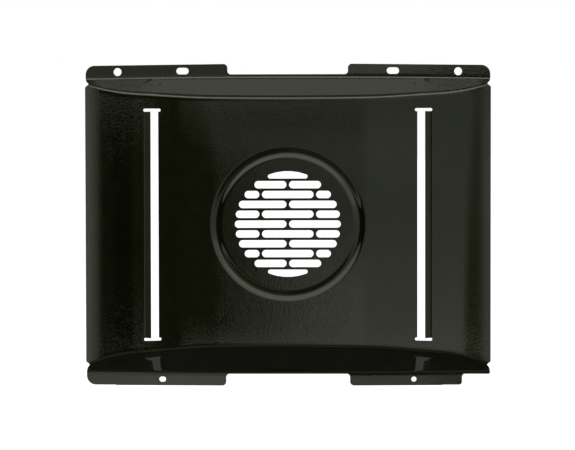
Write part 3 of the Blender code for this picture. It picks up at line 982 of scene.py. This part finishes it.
# %% Put the sheet in the frame
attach(cover, "root")
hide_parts("fan_cover")
print(cover.name, "rides on the frame")

# %% [markdown]
# ## The studio
#
# A black mirror is lit by what it reflects. The set is a pale floor well below the
# cover, even white all round, and a large painted dome that only reflections see. On
# the dome, as in a studio for glassware, a wide pale screen stands to the left, a dark
# one to the right, a bright table below and a dim ceiling above.
#
# The paper of the floor glows a little more where the camera looks at it, so the ground
# of the picture is white while no more light falls on the cover.

# %% Floor
FLOOR_HEIGHT = -0.30
FLOOR_SIZE = 60.0
PAPER_GREY = (0.8, 0.8, 0.8, 1.0)
WHITE = (1.0, 1.0, 1.0, 1.0)
PAPER_GLOW = 0.2
PAPER_GLOW_IN_VIEW = 0.3
bpy.ops.object.select_all(action="DESELECT")
bpy.ops.mesh.primitive_plane_add(size=FLOOR_SIZE, location=(0.0, 0.0, FLOOR_HEIGHT))
floor = bpy.context.active_object
floor.name = "pale_floor"


def seen_straight(net):
    """1 where the camera, a mirror or clear glass looks at it, else 0."""
    camera_ray, glossy_ray, transmission_ray = net.node(
        "ShaderNodeLightPath", output=("Is Camera Ray", "Is Glossy Ray", "Is Transmission Ray")
    )
    either = camera_ray + glossy_ray + transmission_ray
    return net.node("ShaderNodeMath", {"operation": "MINIMUM"}, [either, 1.0])


paper, net = new_net("pale_paper")
matt = net.node("ShaderNodeBsdfDiffuse", None, {"Color": PAPER_GREY})
lift = net.node("ShaderNodeEmission", None, {
    "Color": WHITE, "Strength": PAPER_GLOW + seen_straight(net) * PAPER_GLOW_IN_VIEW,
})
both = net.node("ShaderNodeAddShader", None, [matt, lift])
net.node("ShaderNodeOutputMaterial", None, {"Surface": both})
floor.data.materials.append(paper)
floor.visible_glossy = False
print("the floor lies", -FLOOR_HEIGHT, "m below the cover's middle")

# %% [markdown]
# The dome's paint is worked out from two angles: how far round from the front, to the
# right, and how far up. Both are in degrees, and a screen is a smooth step in one or both
# of them. Levels of light are given as shares of what white paper would show.

# %% Angles on the dome
DOME_RADIUS = 12.0
DEGREES = 180.0 / math.pi
bpy.ops.object.select_all(action="DESELECT")
bpy.ops.mesh.primitive_uv_sphere_add(segments=96, ring_count=48, radius=DOME_RADIUS)
dome = bpy.context.active_object
dome.name = "studio_dome"
paint, net = new_net("studio_paint")
from_middle = net.node("ShaderNodeTexCoord", output="Object")
direction = net.node("ShaderNodeVectorMath", {"operation": "NORMALIZE"}, [from_middle])
right, away, up = net.node("ShaderNodeSeparateXYZ", None, [direction], output=(0, 1, 2))
round_angle = net.node("ShaderNodeMath", {"operation": "ARCTAN2"}, [right, -away]) * DEGREES
up_angle = net.node("ShaderNodeMath", {"operation": "ARCSINE"}, [up]) * DEGREES


def by_round(start, end, low=0.0, high=1.0):
    return net.ramp(round_angle, start, end, low, high)


def by_height(start, end, low=0.0, high=1.0):
    return net.ramp(up_angle, start, end, low, high)


print("the dome is", 2 * DOME_RADIUS, "m across")

# %% [markdown]
# The pale screen fills the level band to the left of the front. It is a sheet of cloth
# with light behind it: brighter low down, a little mottled, and shaded near its edge. The
# curled rim looks past it, at a dimmer part of the room and then at a window's light.

# %% The pale screen on the left
PALE_LIGHT = 0.60
PALE_GAIN_LOW = 0.20
PALE_GAIN_HIGH = 0.07
PALE_TOP_FADE = 0.09
EDGE_SHADE = 0.16
EDGE_SHADE_TOP = 0.14
EDGE_GAIN_LOW = 0.40
MOTTLE_SCALE = 120.0
MOTTLE = 0.5
near_edge = by_round(-4.0, -0.5)
low_down = by_height(-3.0, -9.0)
near_top = by_height(1.0, 1.8)
pale = (
    PALE_LIGHT + low_down * PALE_GAIN_LOW + by_height(-3.0, 0.5) * PALE_GAIN_HIGH
    - near_top * PALE_TOP_FADE
    + near_edge * (low_down * EDGE_GAIN_LOW - EDGE_SHADE - near_top * EDGE_SHADE_TOP)
)
mottle = net.noise(direction, MOTTLE_SCALE) * MOTTLE + (1 - MOTTLE / 2)
print("the pale screen gives", PALE_LIGHT, "to", PALE_LIGHT + PALE_GAIN_LOW, "of paper white")

# %% [markdown]
# The screen's far end isn't upright either, because it hangs a little askew. Past it the
# angle, not the height, decides how light the room is.

# %% Past the pale screen's far end
FAR_END = -42.0
ROOM_LIGHT = 0.28
ROOM_FADE_LOW = 0.08
WINDOW_GAIN = 0.65
far_end = FAR_END + by_height(-4.0, 2.5, 0.0, -9.0) + low_down * 3.0
past_end = net.ramp(round_angle - far_end, 1.0, -1.0)
room = ROOM_LIGHT - low_down * ROOM_FADE_LOW + by_round(-54.0, -68.0) * WINDOW_GAIN
left_side = pale * mottle * (1 - past_end) + room * past_end
print("it ends at", FAR_END, "degrees, and the room beyond gives", ROOM_LIGHT)

# %% [markdown]
# The dark screen begins just right of the front. Its edge leans over to the right
# towards the top, which gives the slanting edge between the panel's grey and its black.
# Far to the right it gives way to a window.

# %% The dark screen on the right
DARK_LIGHT = 0.025
LEAN = 10.0
LEAN_POWER = 2.5
right_side = (
    DARK_LIGHT + by_round(20.0, 8.0, 0.0, 0.065) + by_round(30.0, 42.0, 0.0, 0.04)
    + by_round(50.0, 61.0, 0.0, 0.75) + by_round(60.0, 74.0, 0.0, 0.7)
)
lifted = net.node("ShaderNodeMapRange", None, [up_angle, -0.4, 1.8])
leaning = net.node("ShaderNodeMath", {"operation": "POWER"}, [lifted, LEAN_POWER]) * LEAN
overhang = leaning + by_height(-4.0, 0.5, 0.0, 0.4) - low_down * 0.35
is_right = net.ramp(round_angle - overhang, 0.5, 0.7)
level_band = left_side * (1 - is_right) + right_side * is_right
print("the dark screen gives", DARK_LIGHT, "to a tenth, and its top leans", LEAN, "degrees")

# %% [markdown]
# The table ends the level band below, and the ceiling ends it above. The cover's top
# wall mirrors the panel, which mirrors a lamp low in front, so that lamp is what makes
# the wall pale. The bottom wall does the same with a strip of the ceiling. Both strips
# are narrow in height, because the round folds would show them as bright lines.

# %% The table
TABLE_LIGHT = 1.3
TABLE_GAIN_NEAR = 0.6
table_edge = by_round(9.5, 12.0, -10.6, -13.4) + by_round(-30.0, -38.0, 0.0, -2.0)
is_table = net.ramp(up_angle - table_edge, 0.4, -0.4)
to_right = by_round(-5.0, 5.0)
table = (
    TABLE_LIGHT - to_right * by_height(-20.0, -14.0, 0.0, 0.4)
    + by_height(-18.0, -26.0) * TABLE_GAIN_NEAR
)
print("the table gives", TABLE_LIGHT, "and", TABLE_LIGHT + TABLE_GAIN_NEAR, "in front")

# %% The ceiling
CEILING_LIGHT = 0.5
CEILING_GAIN_RIGHT = 0.4
CEILING_STRIP = 0.65
ceiling_edge = by_round(1.0, 12.0, 2.7, 4.4)
is_ceiling = net.ramp(up_angle - ceiling_edge, -0.3, 0.3)
ceiling = (
    (CEILING_LIGHT + to_right * CEILING_GAIN_RIGHT) * by_height(12.0, 6.0, 0.2, 1.0)
    + by_height(51.0, 54.0) * by_height(64.0, 61.0) * CEILING_STRIP
)
print("the ceiling gives", CEILING_LIGHT, "and its strip", CEILING_STRIP)

# %% The low lamps
LOW_LAMP = 7.2
UNDER_LAMP = 5.0
BEHIND_LIGHT = 0.5
ahead = by_round(-60.0, -50.0) * by_round(60.0, 50.0)
low_lamp = by_height(-53.5, -51.5) * by_height(-45.0, -47.0) * ahead
under_lamp = by_height(-80.0, -84.0)
front = (
    level_band * (1 - is_table) * (1 - is_ceiling)
    + table * is_table + ceiling * is_ceiling + low_lamp * LOW_LAMP + under_lamp * UNDER_LAMP
)
is_behind = net.ramp(away, 0.0, 0.1)
light = front * (1 - is_behind) + is_behind * BEHIND_LIGHT
print("the low lamp adds", LOW_LAMP, "times paper white")

# %% [markdown]
# Bright parts of the studio are a cool white, and the dark ones are olive. The hue is
# scaled by the light before it goes into the Emission node, so one socket carries both.

# %% Paint the dome
COOL_WHITE = (0.98, 1.0, 0.99, 1.0)
OLIVE_DARK = (1.0, 1.05, 0.55, 1.0)
dimness = net.ramp(light, 0.45, 0.15)
hue = net.node(
    "ShaderNodeMix", {"data_type": "RGBA"}, {"Factor": dimness, 6: COOL_WHITE, 7: OLIVE_DARK},
    output=2
)
painted = net.node("ShaderNodeVectorMath", {"operation": "SCALE"}, {0: hue, "Scale": light})
glow = net.node("ShaderNodeEmission", None, {"Color": painted})
net.node("ShaderNodeOutputMaterial", None, {"Surface": glow})
dome.data.materials.append(paint)
dome.visible_camera = False
dome.visible_diffuse = False
dome.visible_transmission = False
dome.visible_shadow = False
print("the dome is seen only in reflections")

# %% [markdown]
# What is matt, the floor and the little of the enamel's own colour, is lit by an even
# world and one soft lamp high on the left. The lamp stays out of the reflections, which
# are the dome's alone.

# %% World and key light
WORLD_LIGHT = 0.8
WORLD_GAIN_IN_VIEW = 0.2
KEY_PLACE = (-1.2, -1.6, 1.8)
KEY_TURN = (math.radians(50.0), 0.0, math.radians(-37.0))
KEY_SIZE = 1.5
KEY_WATTS = 18.0
world = bpy.data.worlds.new("even_white")
bpy.context.scene.world = world
world.use_nodes = True
world.node_tree.nodes.clear()
net = Net(world.node_tree)
backdrop = net.node("ShaderNodeBackground", None, {
    "Color": WHITE, "Strength": WORLD_LIGHT + seen_straight(net) * WORLD_GAIN_IN_VIEW,
})
net.node("ShaderNodeOutputWorld", None, {"Surface": backdrop})
bpy.ops.object.select_all(action="DESELECT")
bpy.ops.object.light_add(type="AREA", location=KEY_PLACE)
key = bpy.context.active_object
key.name = "soft_key"
key.data.size = KEY_SIZE
key.data.energy = KEY_WATTS
key.rotation_euler = KEY_TURN
key.visible_glossy = False
print("the world gives", WORLD_LIGHT, "and the key the rest")

# %% [markdown]
# ## The camera
#
# The photograph was taken from about 1.15 m, nearly square to the flanges. Its view
# point is 8 cm above the cover's middle: the top wall looks narrower than the bottom
# one, and the louvres' ends show the same. The upright edges draw together a little
# downwards, so the camera looks down by about a degree. A lens shift then puts the
# cover in the middle of the frame without turning the camera any further. The lens is
# chosen so that one pixel is a millimetre wide where the flanges are.

# %% Camera
VIEW_DISTANCE = 1.150
IMAGE_WIDTH = 575
PIXEL_SIZE = 1.0 * MM
SHIFT_RIGHT_PIXELS = 13.2
SHIFT_DOWN_PIXELS = 62.0
SENSOR_WIDTH = 36.0
EYE_LEFT = 3.0 * MM
EYE_UP = 80.0 * MM
LOOK_DOWN = math.radians(0.891)
ROLL = math.radians(0.111)
LOOK_LEFT = math.radians(0.521)
bpy.ops.object.select_all(action="DESELECT")
bpy.ops.object.camera_add(
    location=(-EYE_LEFT, -(DEPTH + SHEET) / 2 - VIEW_DISTANCE, EYE_UP),
    rotation=(math.pi / 2 - LOOK_DOWN, ROLL, LOOK_LEFT),
)
camera = bpy.context.active_object
camera.data.sensor_width = SENSOR_WIDTH
camera.data.lens = SENSOR_WIDTH * VIEW_DISTANCE / (IMAGE_WIDTH * PIXEL_SIZE)
camera.data.shift_x = SHIFT_RIGHT_PIXELS / IMAGE_WIDTH
camera.data.shift_y = -SHIFT_DOWN_PIXELS / IMAGE_WIDTH
bpy.context.scene.camera = camera
bpy.context.scene.view_settings.view_transform = "Standard"
print("the lens is", round(camera.data.lens, 1), "mm")
